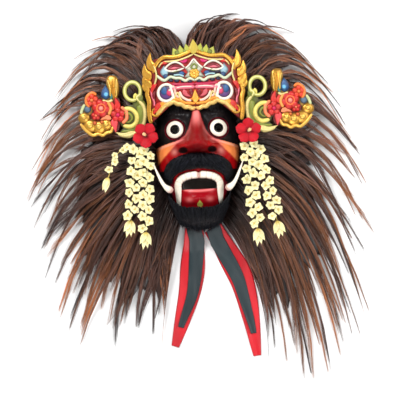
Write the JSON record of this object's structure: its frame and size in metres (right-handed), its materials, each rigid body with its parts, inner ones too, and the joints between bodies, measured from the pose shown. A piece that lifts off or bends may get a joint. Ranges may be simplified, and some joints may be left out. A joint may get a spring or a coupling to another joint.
{
  "type": "barong mask",
  "caption": "Barong dance mask lying on its back: carved red beast face, leather tiara and ear wings, jasmine garlands, wide brown mane and ribbons under the beard.",
  "frame": {"origin": "bottom centre of the whole mask's bounding box, on the plane it lies on", "axes": "+X to the right as the face is looked at, +Y from the chin to the crown, +Z out of the face"},
  "size_m": [0.606, 0.6542, 0.1444],
  "materials": {
    "painted_face": "carved wood under glossy red, black, white and orange paint",
    "ivory_paint": "carved wood under ivory-white lacquer",
    "black_hair": "stiff black hair",
    "tiara_leather": "carved, painted and gilded leather",
    "wing_leather": "carved, painted and gilded leather",
    "hibiscus_silk": "matt red silk petals",
    "jasmine_silk": "matt cream silk buds",
    "brown_hair": "dark brown hair with orange and tan ends",
    "red_cloth": "satin cloth",
    "black_cloth": "satin cloth"
  },
  "bodies": {
    "root": {"face": "painted_face", "upper_teeth": "ivory_paint", "tusk_left": "ivory_paint", "tusk_right": "ivory_paint", "moustache": "black_hair", "beard": "black_hair", "crown": "tiara_leather", "wing_left": "wing_leather", "wing_right": "wing_leather", "hibiscus_left": "hibiscus_silk", "hibiscus_right": "hibiscus_silk", "garland_left_inner": "jasmine_silk", "garland_left_outer": "jasmine_silk", "garland_left_sprig": "jasmine_silk", "garland_right_inner": "jasmine_silk", "garland_right_outer": "jasmine_silk", "mane_left": "brown_hair", "mane_right": "brown_hair", "ribbon_left_red": "red_cloth", "ribbon_right_red": "red_cloth", "ribbon_left_black": "black_cloth", "ribbon_right_black": "black_cloth"}
  },
  "joints": []
}
